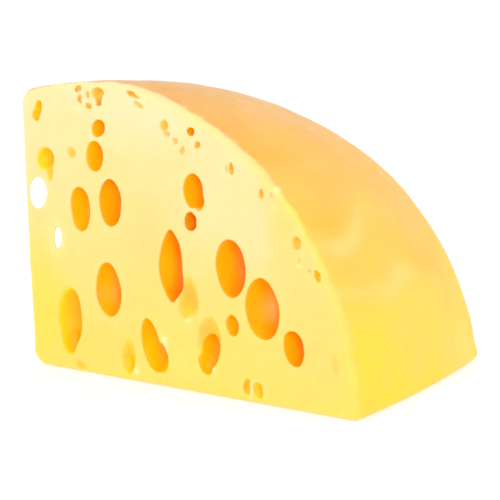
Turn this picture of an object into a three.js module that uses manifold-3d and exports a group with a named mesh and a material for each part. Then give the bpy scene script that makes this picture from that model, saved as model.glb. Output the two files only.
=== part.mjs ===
// Wedge of large-eyed yellow cheese, one solid piece as cut from a wheel.
//
// Frame: millimetres, +Z up, origin at the middle of the footprint on the
// surface it stands on. The big cut face with the eyes looks along -Y, the
// straight left cut looks along -X, the wedge stands on its third cut, and the
// rind is the curved band that runs from the top over to the right.

import * as THREE from 'three';
import * as BufferGeometryUtils from 'three/addons/utils/BufferGeometryUtils.js';
import Module from 'manifold-3d';

// ---------------------------------------------------------------- dimensions
const WIDTH = 151.8;          // length of the foot of the front cut face
const DEPTH = 110;            // thickness of the slab, front cut to back cut
const LEFT_LEAN = 1.84;       // degrees the left cut leans outwards
const RIM_RADIUS = 2.5;       // softened edge around the front and back cuts
const CORNER_TOP_LEFT = 6.0;  // rounding of the outline's corners
const CORNER_FOOT_LEFT = 6.5;
const CORNER_FOOT_RIGHT = 3.6;
const STEPS = 7;              // slices through the thickness
const RIND_SEGMENTS = 30;     // straight pieces along the rind
const CORNER_SEGMENTS = 4;    // straight pieces around each corner
const CENTRE_X = 75.26;       // from the foot of the left cut to the origin
const CENTRE_Y = 55.0;        // from the front cut to the origin

// Outline of the rind on the front cut face, [x, z] from the lower left corner,
// running from the lower right foot over the shoulder to the top left.
const RIND = [
  [150.1, 8.5], [149.7, 15.7], [147.5, 24.6], [144.4, 34.6], [140.6, 45],
  [135.4, 54.9], [128.2, 65.7], [119.2, 76.1], [106.9, 87], [93.3, 96.4],
  [77.4, 104.7], [61.2, 111], [47.1, 114.4], [33.2, 115], [19.2, 114.9],
];
const TOP_LEFT_Z = 112.5;     // height of the sharp top left corner

// The rind is a barrel: across the thickness it swells, then draws in to the
// back. Drawn-in distance = (A0 + A1 t + A2 t^2) s + (B0 + B1 t + B2 t^2) s^2,
// where s goes from the front cut (0) to the back cut (1) and t from the foot
// (0) round to the top (1).
const BARREL = { A0: -11.5, A1: 4.0, A2: -0.6, B0: 10.9, B1: 25.8, B2: -27.1 };

// ---------------------------------------------------------------------- eyes
// Every eye is an ellipsoid that a cut face opened. One row per eye:
// [u, v, half width, half height, depth, k, tilt]
//   u, v   middle of the opening on its face
//   depth  how deep the eye goes below the face
//   k      where the middle of the ellipsoid lies, as a share of its half
//          depth: above 0 below the face (deep, undercut), below 0 a bowl
//   tilt   degrees the long axis leans in the plane of the face
const EYES_FRONT = [ // u = x, v = z
  [5.8, 103.9, 2.6, 4.1, 4.0, 0.2, 0],
  [38.6, 109.1, 2.6, 3.2, 2.0, -0.45, 0],
  [38.1, 97.3, 3.2, 3.2, 6.0, 0.35, 0],
  [35.9, 86.6, 4.1, 5.9, 8.0, 0.25, 0],
  [9.3, 84.8, 4.9, 4.8, 3.4, -0.35, 0],
  [27.7, 66.0, 5.0, 8.7, 9.0, 0.25, 0],
  [43.7, 69.0, 5.5, 9.1, 11.0, 0.4, 0],
  [70.3, 98.4, 1.9, 2.1, 1.6, -0.3, 0],
  [82.2, 96.2, 1.7, 1.6, 3.0, 0.25, 20],
  [99.9, 83.3, 1.1, 2.5, 1.6, 0.0, 0],
  [83.1, 74.5, 4.7, 6.8, 8.5, 0.3, -8],
  [81.9, 63.8, 2.6, 3.2, 6.0, 0.4, 0],
  [72.7, 46.6, 5.4, 12.2, 10.0, 0.2, 0],
  [80.0, 34.2, 4.9, 7.1, 2.4, -0.6, 0],
  [99.3, 48.0, 6.3, 10.1, 11.0, 0.3, -4],
  [112.8, 34.8, 6.9, 10.9, 12.0, 0.3, -8],
  [125.8, 22.0, 4.4, 6.1, 8.5, 0.35, -13],
  [100.2, 27.4, 2.6, 3.8, 5.0, 0.25, 0],
  [89.4, 22.1, 5.8, 9.0, 3.4, -0.5, 0],
  [89.4, 15.5, 4.4, 7.2, 8.0, 0.1, -4],
  [41.7, 34.9, 6.1, 10.5, 9.0, 0.25, -4],
  [21.1, 20.4, 6.6, 13.2, 5.0, -0.4, -7],
  [64.6, 15.5, 6.0, 10.4, 8.0, 0.15, -15],
  [52.1, 9.6, 4.4, 6.8, 1.8, -0.65, 0],
  [106.3, 6.1, 1.5, 2.7, 1.5, -0.3, 0],
  [111.2, 5.6, 2.0, 2.7, 1.8, -0.3, 0],
  [126.4, 58.7, 1.9, 2.5, 1.6, -0.2, 10],
  [29.0, 109.4, 1.3, 2.3, 1.1, 0.0, -6],
  [23.1, 87.8, 2.2, 2.0, 1.2, -0.3, 25],
  [12.1, 78.3, 1.6, 2.7, 1.7, -0.2, 4],
  [55.0, 109.9, 2.4, 0.9, 1.1, 0.0, 25],
  [85.0, 91.5, 1.6, 1.3, 1.1, 0.0, 10],
  [134.6, 48.8, 1.3, 2.3, 1.3, 0.0, -12],
];
const EYES_LEFT = [ // u = y, v = z
  [30.5, 86.0, 5.2, 7.6, 8.0, 0.30, 6],
  [53.0, 98.0, 3.4, 4.6, 5.0, 0.20, 0],
  [56.5, 68.0, 6.4, 9.8, 10.0, 0.30, -6],
  [80.0, 84.5, 4.6, 6.2, 7.0, 0.25, 0],
  [86.0, 55.5, 6.6, 9.2, 10.0, 0.30, 8],
  [45.0, 37.0, 5.6, 9.4, 9.0, 0.25, 0],
  [31.0, 15.0, 3.4, 5.0, 5.0, 0.20, -10],
  [67.0, 29.0, 4.4, 6.8, 3.4, -0.35, 0],
  [90.5, 24.0, 5.4, 7.6, 9.0, 0.30, 0],
  [72.0, 46.0, 2.4, 3.2, 4.0, 0.20, 0],
];
const EYES_BACK = [ // u = x, v = z
  [17.0, 84.0, 4.6, 6.4, 8.0, 0.30, 0],
  [35.0, 92.0, 2.8, 3.4, 4.6, 0.20, 10],
  [48.0, 74.0, 6.4, 9.6, 10.5, 0.30, -5],
  [70.5, 86.0, 4.4, 5.6, 3.6, -0.30, 0],
  [81.0, 66.5, 5.4, 8.4, 9.0, 0.30, 8],
  [104.0, 68.0, 3.6, 4.6, 6.0, 0.25, 0],
  [108.5, 44.0, 6.8, 10.2, 11.0, 0.30, 5],
  [131.0, 26.0, 5.0, 7.0, 8.0, 0.30, -8],
  [88.5, 31.0, 5.8, 9.8, 9.5, 0.30, 0],
  [64.5, 44.5, 4.6, 7.2, 8.0, 0.30, 4],
  [43.0, 40.5, 6.6, 10.6, 11.0, 0.30, 0],
  [18.0, 52.5, 5.6, 8.8, 9.0, 0.25, -4],
  [22.5, 21.5, 6.2, 8.6, 4.2, -0.40, 0],
  [62.0, 17.0, 5.0, 7.0, 8.0, 0.30, 6],
  [112.0, 14.5, 3.6, 5.2, 6.0, 0.25, 0],
];
const EYES_FOOT = [ // u = x, v = y
  [24.0, 26.0, 5.6, 8.2, 8.5, 0.30, 12],
  [46.0, 47.0, 3.6, 4.8, 5.5, 0.25, 0],
  [35.0, 84.0, 6.2, 8.8, 9.0, 0.30, -6],
  [58.0, 24.0, 4.4, 6.4, 3.0, -0.40, 0],
  [100.0, 36.0, 6.0, 9.0, 9.0, 0.30, 8],
  [124.0, 60.0, 5.4, 8.0, 9.0, 0.30, 0],
  [96.0, 84.0, 5.6, 7.6, 8.0, 0.30, -10],
  [62.0, 90.0, 3.8, 5.0, 5.5, 0.25, 0],
  [130.0, 28.0, 3.6, 5.0, 5.0, 0.20, 0],
];
// Eyes that two cuts opened, so that they run through a corner of the wedge:
// [centre x, y, z, half length, half width, half height, direction in plan,
// rise of that direction]
const EYES_THROUGH = [
  [1.8, 4.0, 71.0, 20.0, 3.8, 7.2, 135.4, -4.0],
  [7.2, 9.0, 52.3, 34.0, 1.8, 5.4, 134.3, -6.5],
  [27.2, 2.4, 0.1, 3.6, 3.4, 4.0, 0, 0],
];

// ------------------------------------------------------------------- helpers
const wasm = await Module();
wasm.setup();

function toManifold(geometry) {
  const g = geometry.clone();
  g.deleteAttribute('normal');
  g.deleteAttribute('uv');
  const merged = BufferGeometryUtils.mergeVertices(g, 1e-4);
  return new wasm.Manifold(new wasm.Mesh({
    numProp: 3,
    vertProperties: new Float32Array(merged.attributes.position.array),
    triVerts: new Uint32Array(merged.index.array),
  }));
}

function toGeometry(manifold) {
  const mesh = manifold.getMesh();
  const geometry = new THREE.BufferGeometry();
  const positions = new Float32Array(mesh.numVert * 3);
  for (let i = 0; i < mesh.numVert; i++) {
    for (let j = 0; j < 3; j++) {
      positions[3 * i + j] = mesh.vertProperties[mesh.numProp * i + j];
    }
  }
  geometry.setAttribute('position', new THREE.BufferAttribute(positions, 3));
  geometry.setIndex(new THREE.BufferAttribute(new Uint32Array(mesh.triVerts), 1));
  geometry.computeVertexNormals();
  return geometry;
}

// Quarter of a circle-like turn at a corner, from a point before it to a point
// after it.
function roundCorner(shape, corner, from, to, radius) {
  const a = new THREE.Vector2(...from).sub(new THREE.Vector2(...corner)).normalize();
  const b = new THREE.Vector2(...to).sub(new THREE.Vector2(...corner)).normalize();
  const start = [corner[0] + a.x * radius, corner[1] + a.y * radius];
  const end = [corner[0] + b.x * radius, corner[1] + b.y * radius];
  const h = 0.552;
  const turn = new THREE.CubicBezierCurve(
    new THREE.Vector2(...start),
    new THREE.Vector2(start[0] - a.x * radius * h, start[1] - a.y * radius * h),
    new THREE.Vector2(end[0] - b.x * radius * h, end[1] - b.y * radius * h),
    new THREE.Vector2(...end));
  for (const q of turn.getPoints(CORNER_SEGMENTS)) shape.lineTo(q.x, q.y);
}

// ------------------------------------------------------------------- outline
const lean = Math.tan(THREE.MathUtils.degToRad(LEFT_LEAN));
const topLeft = [-lean * TOP_LEFT_Z, TOP_LEFT_Z];
const footRight = [WIDTH, 0];

const rindCurve = new THREE.SplineCurve(RIND.map(([x, z]) => new THREE.Vector2(x, z)));

function outlineShape() {
  const shape = new THREE.Shape();
  shape.moveTo(75, 0);
  roundCorner(shape, footRight, [0, 0], RIND[0], CORNER_FOOT_RIGHT);
  const last = RIND[RIND.length - 1];
  for (const q of rindCurve.getSpacedPoints(RIND_SEGMENTS)) shape.lineTo(q.x, q.y);
  roundCorner(shape, topLeft, last, [0, 0], CORNER_TOP_LEFT);
  roundCorner(shape, [0, 0], topLeft, footRight, CORNER_FOOT_LEFT);
  shape.closePath();
  return shape;
}

// Distance from the lower left corner to the sharp outline at a given angle.
const sharp = [footRight, ...rindCurve.getPoints(80).map((q) => [q.x, q.y]), topLeft];
const table = sharp.map(([x, z]) => [Math.atan2(z, x), Math.hypot(x, z)]);
const FULL_ANGLE = Math.PI / 2 + THREE.MathUtils.degToRad(LEFT_LEAN);

function outlineRadius(angle) {
  if (angle <= table[0][0]) return table[0][1];
  for (let i = 1; i < table.length; i++) {
    if (angle <= table[i][0]) {
      const [a0, r0] = table[i - 1];
      const [a1, r1] = table[i];
      return r0 + (r1 - r0) * (angle - a0) / (a1 - a0);
    }
  }
  return table[table.length - 1][1];
}

// ---------------------------------------------------------------------- slab
function slab() {
  const geometry = new THREE.ExtrudeGeometry(outlineShape(), {
    depth: DEPTH - 2 * RIM_RADIUS,
    steps: STEPS,
    curveSegments: 1,
    bevelEnabled: true,
    bevelThickness: RIM_RADIUS,
    bevelSize: RIM_RADIUS,
    bevelOffset: -RIM_RADIUS,
    bevelSegments: 3,
  });
  geometry.rotateX(Math.PI / 2);                    // outline upright, depth on Y
  geometry.translate(0, DEPTH - RIM_RADIUS, 0);     // front cut at y = 0
  const p = geometry.attributes.position;
  for (let i = 0; i < p.count; i++) {
    const x = p.getX(i);
    const z = p.getZ(i);
    const s = p.getY(i) / DEPTH;
    const angle = Math.min(Math.max(Math.atan2(z, x), 0), FULL_ANGLE);
    const t = angle / FULL_ANGLE;
    const drawnIn = (BARREL.A0 + BARREL.A1 * t + BARREL.A2 * t * t) * s
      + (BARREL.B0 + BARREL.B1 * t + BARREL.B2 * t * t) * s * s;
    const scale = 1 - drawnIn / outlineRadius(angle);
    p.setX(i, x * scale);
    p.setZ(i, z * scale);
  }
  return geometry;
}

// ------------------------------------------------------------------ eye tools
function ellipsoid(halfX, halfY, halfZ) {
  const size = Math.max(halfX, halfZ, halfY);
  const [around, rings] = size > 8.5 ? [14, 9] : size > 4 ? [10, 7] : [8, 5];
  const g = new THREE.SphereGeometry(1, around, rings);
  g.rotateX(Math.PI / 2);
  g.scale(halfX, halfY, halfZ);
  return g;
}

// An eye in the frame of its face: opening in local XZ, depth along local +Y.
function eye([u, v, halfU, halfV, depth, k, tilt], place) {
  const halfDepth = depth / (1 + k);
  const open = Math.sqrt(1 - k * k);
  const g = ellipsoid(halfU / open, halfDepth, halfV / open);
  g.rotateY(THREE.MathUtils.degToRad(tilt));
  g.translate(0, k * halfDepth, 0);
  return place(g, u, v);
}

const onFront = (g, x, z) => g.translate(x, 0, z);
const onLeft = (g, y, z) => g.rotateZ(-Math.PI / 2)
  .rotateY(-THREE.MathUtils.degToRad(LEFT_LEAN)).translate(-lean * z, y, z);
const onBack = (g, x, z) => g.rotateZ(Math.PI).translate(x, DEPTH, z);
const onFoot = (g, x, y) => g.rotateX(Math.PI / 2).translate(x, y, 0);

function throughEye([x, y, z, length, width, height, plan, rise]) {
  const g = ellipsoid(length, width, height);
  g.rotateY(-THREE.MathUtils.degToRad(rise));
  g.rotateZ(THREE.MathUtils.degToRad(plan));
  g.translate(x, y, z);
  return g;
}

// --------------------------------------------------------------------- wedge
let solid = toManifold(slab());
const tools = [
  ...EYES_FRONT.map((row) => eye(row, onFront)),
  ...EYES_LEFT.map((row) => eye(row, onLeft)),
  ...EYES_BACK.map((row) => eye(row, onBack)),
  ...EYES_FOOT.map((row) => eye(row, onFoot)),
  ...EYES_THROUGH.map(throughEye),
];
for (const tool of tools) {
  solid = solid.subtract(toManifold(tool));
}

const geometry = toGeometry(solid);
geometry.translate(-CENTRE_X, -CENTRE_Y, 0);

const cheese = new THREE.Mesh(geometry, new THREE.MeshStandardMaterial({
  color: 0xfbe08a,
  roughness: 0.45,
  metalness: 0.0,
}));
cheese.name = 'cheese_wedge';

const wedge = new THREE.Group();
wedge.add(cheese);

export default wedge;
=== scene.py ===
"""A wedge of large-eyed yellow cheese: one piece, cut on three sides, with its
curved rind. The shape is a distance field, meshed and coloured in code."""
import math

import bpy
import bmesh
import numpy as np
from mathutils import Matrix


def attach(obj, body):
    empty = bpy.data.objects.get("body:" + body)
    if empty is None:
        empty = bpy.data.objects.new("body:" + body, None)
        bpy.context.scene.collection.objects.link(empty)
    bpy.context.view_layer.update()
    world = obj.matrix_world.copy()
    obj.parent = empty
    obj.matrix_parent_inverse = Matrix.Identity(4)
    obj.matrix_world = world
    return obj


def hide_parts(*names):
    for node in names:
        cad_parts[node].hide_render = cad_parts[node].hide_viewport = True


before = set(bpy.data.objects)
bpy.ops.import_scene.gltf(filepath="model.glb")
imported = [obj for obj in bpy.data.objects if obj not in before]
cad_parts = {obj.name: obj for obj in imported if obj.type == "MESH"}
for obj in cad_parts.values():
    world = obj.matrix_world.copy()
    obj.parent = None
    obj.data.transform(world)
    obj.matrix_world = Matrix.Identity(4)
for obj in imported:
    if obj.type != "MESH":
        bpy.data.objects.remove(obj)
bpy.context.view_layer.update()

# ------------------------------------------------------------------ the shape
# All lengths here are millimetres in the wedge's own corner frame: x from the
# foot of the left cut, y from the front cut, z from the board.
WIDTH, DEPTH, LEAN = 151.8, 110.0, math.radians(1.84)
CENTRE_X, CENTRE_Y = 75.26, 55.0
RIM = 2.5
TAN = math.tan(LEAN)
FULL = math.pi / 2 + LEAN
RIND = [(150.1, 8.5), (149.5, 15.7), (147.65, 24.6), (144.6, 34.6), (140.5, 45.0),
        (135.35, 54.9), (128.2, 65.7), (119.2, 76.1), (106.9, 87.0), (93.3, 96.4),
        (77.4, 104.6), (61.2, 110.9), (47.1, 114.25), (33.2, 115.1), (19.2, 114.95)]
TOP_LEFT = (-TAN * 112.5, 112.5)
FOOT_RIGHT = (WIDTH, 0.0)


def spline(points, per):
    """Uniform Catmull-Rom through the points."""
    p = np.array(points, float)
    p = np.vstack([p[0], p, p[-1]])
    out = []
    t = np.linspace(0, 1, per, endpoint=False)[:, None]
    for i in range(1, len(p) - 2):
        p0, p1, p2, p3 = p[i - 1], p[i], p[i + 1], p[i + 2]
        v0, v1 = (p2 - p0) * 0.5, (p3 - p1) * 0.5
        out.append((2 * p1 - 2 * p2 + v0 + v1) * t**3
                   + (-3 * p1 + 3 * p2 - 2 * v0 - v1) * t**2 + v0 * t + p1)
    out.append(p[-2][None])
    return np.vstack(out)


def corner(c, a, b, r, n=14):
    """The rounded turn at c, coming from a and leaving to b."""
    c, a, b = (np.array(q, float) for q in (c, a, b))
    u = (a - c) / np.linalg.norm(a - c)
    v = (b - c) / np.linalg.norm(b - c)
    t = np.linspace(0, 1, n)[:, None]
    p0, p3 = c + u * r, c + v * r
    p1, p2 = p0 - u * r * 0.552, p3 - v * r * 0.552
    return (1 - t)**3 * p0 + 3 * (1 - t)**2 * t * p1 + 3 * (1 - t) * t**2 * p2 + t**3 * p3


ARC = spline(RIND, 10)
OUTLINE = np.vstack([
    corner(FOOT_RIGHT, (0, 0), RIND[0], 3.6), ARC,
    corner(TOP_LEFT, ARC[-1], (0, 0), 6.0), corner((0, 0), TOP_LEFT, FOOT_RIGHT, 6.5)])
SHARP = np.vstack([[FOOT_RIGHT], ARC, [TOP_LEFT]])
SHARP_A = np.arctan2(SHARP[:, 1], SHARP[:, 0])
SHARP_R = np.hypot(SHARP[:, 0], SHARP[:, 1])

# Signed distance to the outline on a fine grid, read back by interpolation.
G0, GSTEP = np.array([-14.0, -10.0]), 0.5
GX, GZ = 350, 282


def outline_grid():
    gx = G0[0] + GSTEP * np.arange(GX)
    gz = G0[1] + GSTEP * np.arange(GZ)
    X, Z = np.meshgrid(gx, gz, indexing="ij")
    P = np.stack([X.ravel(), Z.ravel()], 1)
    a = OUTLINE
    b = np.roll(OUTLINE, -1, 0)
    keep = np.hypot(*(b - a).T) > 1e-6
    a, b = a[keep], b[keep]
    e = b - a
    L2 = (e**2).sum(1)
    best = np.full(len(P), 1e9)
    wind = np.zeros(len(P), int)
    for (ax, az), (ex, ez), l2 in zip(a, e, L2):
        px, pz = P[:, 0] - ax, P[:, 1] - az
        t = np.clip((px * ex + pz * ez) / l2, 0, 1)
        best = np.minimum(best, (px - t * ex)**2 + (pz - t * ez)**2)
        up = (pz >= 0) & (pz < ez)
        dn = (pz < 0) & (pz >= ez)
        side = ex * pz - ez * px
        wind += (up & (side > 0)).astype(int) - (dn & (side < 0)).astype(int)
    d = np.sqrt(best)
    return np.where(wind != 0, -d, d).reshape(GX, GZ).astype(np.float32)


GRID = outline_grid()


def outline_distance(x, z):
    u = np.clip((x - G0[0]) / GSTEP, 0, GX - 1.001)
    v = np.clip((z - G0[1]) / GSTEP, 0, GZ - 1.001)
    i, j = u.astype(np.int32), v.astype(np.int32)
    fu, fv = u - i, v - j
    return (GRID[i, j] * (1 - fu) * (1 - fv) + GRID[i + 1, j] * fu * (1 - fv)
            + GRID[i, j + 1] * (1 - fu) * fv + GRID[i + 1, j + 1] * fu * fv)


def waves(P, length, seed, n=6):
    """Smooth bounded noise of a wavelength, as a sum of fixed plane waves."""
    r = np.random.RandomState(seed)
    d = r.normal(size=(n, 3))
    d /= np.linalg.norm(d, axis=1)[:, None]
    k = 2 * math.pi / (length * r.uniform(0.7, 1.5, n))
    ph = r.uniform(0, 2 * math.pi, n)
    out = np.zeros(len(P), np.float32)
    for i in range(n):
        out += np.sin((P @ (d[i] * k[i]).astype(np.float32)) + np.float32(ph[i]))
    return out / math.sqrt(n)


def barrel(ang, y):
    s = np.clip(y / DEPTH, -0.03, 1.03)
    t = ang / FULL
    off = (-11.5 + 4.0 * t - 0.6 * t * t) * s + (10.9 + 25.8 * t - 27.1 * t * t) * s * s
    return 1 - off / np.interp(ang, SHARP_A, SHARP_R).astype(np.float32)


def slab(P, rim=RIM):
    """Distance to the wedge without its eyes, and its two parts: to the
    outline (left cut, foot and rind) and to the front and back cuts."""
    x, y, z = P[:, 0], P[:, 1], P[:, 2]
    ang = np.arctan2(z, x)
    ang = np.where(ang < -1.6, FULL, np.clip(ang, 0, FULL))
    sc = barrel(ang, y)
    d2 = outline_distance(x / sc, z / sc) * sc
    dy = np.abs(y - DEPTH / 2) - DEPTH / 2
    a, b = d2 + rim, dy + rim
    d = np.minimum(np.maximum(a, b), 0) + np.hypot(np.maximum(a, 0), np.maximum(b, 0)) - rim
    return d, d2, dy


def bumps(P, d2, dy):
    """The cut faces' and the rind's own unevenness, kept off the foot."""
    on_cut = np.clip((d2 - dy) / -4.0 + 0.5, 0, 1)     # 1 on the front and back
    cut = 0.16 * waves(P, 26.0, 11) + 0.07 * waves(P, 9.0, 12)
    rind = 0.20 * waves(P, 46.0, 21) + 0.10 * waves(P, 15.0, 22) + 0.03 * waves(P, 6.0, 23)
    w = np.clip((P[:, 2] - 0.6) / 5.0, 0, 1)
    left = np.clip((P[:, 0] + TAN * P[:, 2]) / 3.0, 0, 1)
    return (on_cut * cut + (1 - on_cut) * (left * rind + (1 - left) * cut)) * w
# ------------------------------------------------------------------- the eyes
# (u, v, half width, half height, depth, k, tilt, rim, warp): as in the CAD
# model, plus how far the rim is rounded over and how uneven the hollow is.
FRONT = [
    (6.6, 105.3, 1.66, 2.76, 3.6, 0.1, 4, 0.7, 0.08, 0.1),
    (5.2, 102.6, 1.89, 2.58, 3.2, 0.05, 10, 0.7, 0.1, 0.1),
    (28.3, 112.4, 1.56, 1.11, 1.3, 0, -25, 0.35, 0.25, -1),
    (29.1, 108.4, 1.04, 1.68, 1.1, 0, -12, 0.35, 0.25, -1),
    (33.1, 110.0, 0.77, 1.48, 1, 0, 0, 0.35, 0.2, -1),
    (33.5, 105.7, 1.65, 0.76, 1.2, 0, 18, 0.35, 0.25, -1),
    (38.4, 110.5, 3.14, 2.03, 2, -0.15, 0, 0.4, 0.14, -1),
    (38.5, 108.0, 1.67, 2.11, 1.9, 0, 0, 0.4, 0.12, -1),
    (38.7, 106.5, 1.12, 0.60, 1.6, 0.1, 0, 0.3, 0.15, -1),
    (38.2, 97.2, 3.16, 3.12, 6, 0.3, 0, 0.5, 0.05, 0.85),
    (35.9, 86.6, 4.17, 5.76, 8.5, 0.22, -3, 0.8, 0.04, 0.8),
    (23.7, 87.9, 2.23, 2.03, 1, -0.4, 20, 0.7, 0.12, -1),
    (9.5, 85.1, 4.87, 4.71, 3.6, -0.3, 0, 1.6, 0.06, 0.25),
    (11.7, 80.2, 1.54, 3.79, 1.3, -0.2, 0, 1.1, 0.1, -0.3),
    (27.9, 66.0, 4.87, 8.55, 9, 0.25, -5, 0.9, 0.04, 0.8),
    (43.6, 69.0, 5.52, 9.00, 11, 0.32, -1, 0.5, 0.03, 1.15),
    (54.9, 110.1, 2.22, 0.81, 1.6, 0, 30, 0.35, 0.25, -1),
    (57.8, 108.7, 1.05, 0.37, 0.8, 0, 15, 0.3, 0.2, -1),
    (58.2, 105.9, 2.68, 0.73, 0.9, 0, 30, 0.5, 0.25, -1),
    (70.3, 98.5, 1.95, 1.88, 1.9, -0.15, 0, 0.45, 0.14, -1),
    (71.4, 95.3, 1.66, 1.01, 0.8, 0, 25, 0.5, 0.2, -1),
    (75.3, 92.9, 1.19, 1.01, 0.8, 0, 20, 0.5, 0.2, -1),
    (78.5, 89.5, 1.18, 1.51, 0.8, 0, 35, 0.5, 0.2, -1),
    (82.4, 96.3, 1.65, 1.42, 3.6, 0.25, 20, 0.35, 0.1, 0.9),
    (85.3, 91.5, 1.46, 1.28, 1.3, 0, -10, 0.45, 0.2, -1),
    (99.8, 83.4, 0.85, 2.31, 1.5, 0, -8, 0.35, 0.18, -1),
    (97.8, 83.1, 0.69, 1.76, 0.6, 0, -8, 0.5, 0.2, -1),
    (112.4, 75.0, 0.74, 1.83, 1.2, 0, -5, 0.4, 0.2, -1),
    (83.1, 75.0, 4.32, 6.07, 8.5, 0.28, -5, 0.6, 0.04, 1.05),
    (85.9, 71.1, 2.23, 3.07, 2.6, -0.15, -6, 0.5, 0.08, -0.7),
    (82.0, 63.7, 2.67, 3.25, 7, 0.4, -8, 0.35, 0.05, 1.85),
    (80.6, 35.7, 4.50, 8.02, 1.9, -0.6, -6, 1.2, 0.05, -1),
    (79.3, 32.6, 3.42, 5.43, 2.6, -0.3, 14, 0.5, 0.06, -0.7),
    (99.5, 48.0, 6.17, 10.14, 11, 0.28, -4, 0.8, 0.03, 1.2),
    (112.9, 34.6, 6.61, 10.74, 12, 0.28, -7, 1, 0.03, 0.95),
    (125.9, 22.0, 3.85, 6.05, 8.5, 0.32, -14, 0.45, 0.04, 1.1),
    (100.2, 27.4, 2.52, 3.75, 5.2, 0.25, -10, 0.5, 0.06, 0.6),
    (89.4, 21.0, 5.75, 9.12, 3.2, -0.45, -5, 0.9, 0.04, -1),
    (89.7, 16.6, 4.05, 6.05, 8, 0.2, -4, 0.5, 0.05, 0.85),
    (88.3, 11.8, 2.99, 3.94, 5.2, 0.05, -20, 0.8, 0.04, 0.6),
    (41.8, 34.9, 6.22, 10.38, 9.5, 0.25, -5, 0.9, 0.04, 1),
    (21.2, 21.9, 6.57, 11.89, 5.4, -0.35, -3, 1.2, 0.05, 0.6),
    (20.3, 13.2, 3.52, 6.61, 5.4, -0.1, -3, 2, 0.03, 0.6),
    (62.9, 15.7, 4.24, 10.25, 8.5, 0.15, -15, 0.6, 0.04, 0.7),
    (67.4, 11.2, 3.66, 5.61, 6.6, -0.05, -4, 1, 0.04, 0.35),
    (51.5, 9.9, 3.68, 7.21, 2.3, -0.5, -3, 1.2, 0.06, -0.7),
    (51.2, 7.3, 2.63, 4.57, 2.9, -0.25, -3, 0.6, 0.08, 0.1),
    (27.2, 2.4, 3.90, 1.90, 1, -0.4, 12, 0.7, 0.12, -0.5),
    (106.5, 5.8, 1.54, 3.01, 1.6, -0.1, -5, 0.45, 0.14, -0.3),
    (111.2, 5.3, 2.07, 2.77, 2, -0.1, -4, 0.45, 0.14, 0),
    (126.6, 58.7, 1.66, 2.39, 1.7, -0.1, -20, 0.45, 0.14, -1),
    (127.6, 53.1, 0.63, 1.03, 0.6, 0, 0, 0.4, 0.2, -1),
    (131.9, 49.7, 0.43, 0.72, 0.5, 0, 0, 0.3, 0.2, -1),
    (135.0, 48.2, 1.08, 2.04, 1.6, 0, -22, 0.4, 0.2, -0.1),
    (142.0, 18.0, 1.37, 3.09, 0.5, -0.4, -5, 0.9, 0.1, -1),
    (116.5, 74.7, 0.73, 1.24, 0.5, 0, -15, 0.45, 0.25, -1),
    (117.2, 72.4, 0.69, 1.03, 0.45, 0, -10, 0.45, 0.25, -1),
]
LENS = (72.7, 46.7, 5.50, 11.77, 10.5, 0.20, -2, 0.7, 0.03, 1.4)   # pointed eye
LEFT = [
    (30.5, 86.0, 5.0, 7.4, 8.0, 0.28, 6, 0.8, 0.05),
    (53.0, 98.0, 3.3, 4.4, 5.0, 0.20, 0, 0.6, 0.06),
    (56.5, 68.0, 6.2, 9.6, 10.0, 0.28, -6, 0.8, 0.05),
    (80.0, 84.5, 4.5, 6.0, 7.0, 0.25, 0, 0.7, 0.05),
    (86.0, 55.5, 6.4, 9.0, 10.0, 0.28, 8, 0.9, 0.05),
    (45.0, 37.0, 5.4, 9.2, 9.0, 0.25, 0, 0.8, 0.05),
    (31.0, 15.0, 3.3, 4.9, 5.0, 0.20, -10, 0.6, 0.06),
    (67.0, 29.0, 4.3, 6.6, 3.4, -0.35, 0, 1.1, 0.06),
    (90.5, 24.0, 5.2, 7.4, 9.0, 0.30, 0, 0.8, 0.05),
    (72.0, 46.0, 2.3, 3.1, 4.0, 0.20, 0, 0.5, 0.08),
    (40.5, 103.5, 1.1, 1.6, 0.9, 0.0, 10, 0.5, 0.25),
    (44.5, 106.0, 0.8, 1.0, 0.6, 0.0, 0, 0.5, 0.25),
    (66.0, 104.5, 1.4, 1.1, 0.8, 0.0, 20, 0.5, 0.25),
    (69.0, 97.5, 0.9, 1.6, 0.7, 0.0, 0, 0.5, 0.25),
    (15.5, 96.5, 1.5, 2.2, 1.4, 0.0, 0, 0.5, 0.2),
    (37.5, 62.0, 2.0, 2.8, 1.0, -0.4, 0, 0.9, 0.15),
    (22.0, 34.5, 1.6, 2.4, 2.2, 0.1, 8, 0.5, 0.15),
    (101.0, 73.5, 1.6, 2.2, 1.2, 0.0, 0, 0.5, 0.2),
    (104.0, 42.0, 1.3, 2.0, 0.9, 0.0, 0, 0.5, 0.2),
    (60.0, 9.5, 3.2, 3.6, 1.2, -0.5, 0, 1.0, 0.1),
]
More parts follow.
